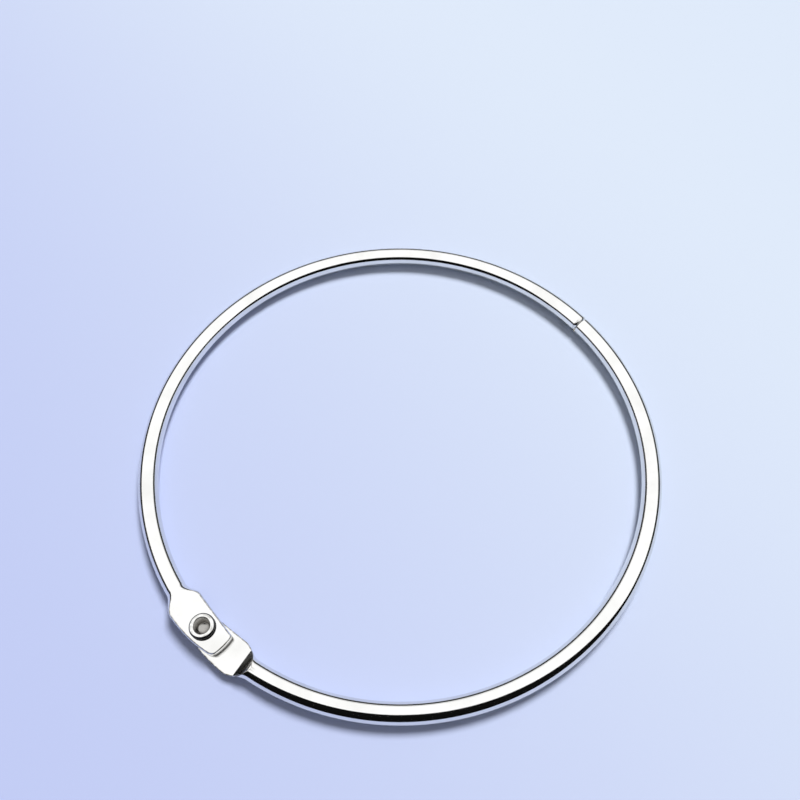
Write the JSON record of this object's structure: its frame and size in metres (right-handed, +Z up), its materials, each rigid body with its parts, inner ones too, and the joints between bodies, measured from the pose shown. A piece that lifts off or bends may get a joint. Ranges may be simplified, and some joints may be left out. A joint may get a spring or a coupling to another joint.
{
  "type": "binder ring",
  "caption": "Hinged loose-leaf binder ring of polished nickel-plated steel wire, with riveted flat tabs at the hinge and a nose-and-tongue clasp opposite.",
  "frame": {"origin": "under the centre of the ring, on the surface that the closed ring lies on", "axes": "+Z up along the hinge rivet's axis, the ring lying in the XY plane with its hinge at bearing 226 degrees and its clasp at 37 degrees from +X"},
  "size_m": [0.108, 0.108, 0.0052],
  "materials": {
    "nickel_wire": "bright nickel plate on drawn steel wire, polished",
    "nickel_rivet": "bright nickel plate on a rolled steel rivet"
  },
  "bodies": {
    "lower_half": {"lower_half_ring": "nickel_wire", "hinge_rivet": "nickel_rivet"},
    "upper_half": {"upper_half_ring": "nickel_wire"}
  },
  "joints": [
    {"name": "ring_hinge", "type": "hinge", "parent": "lower_half", "child": "upper_half", "pos_m": [-0.03612, -0.03741, 0.00232], "axis": [0, 0, 1], "range_deg": [0, 135]}
  ]
}
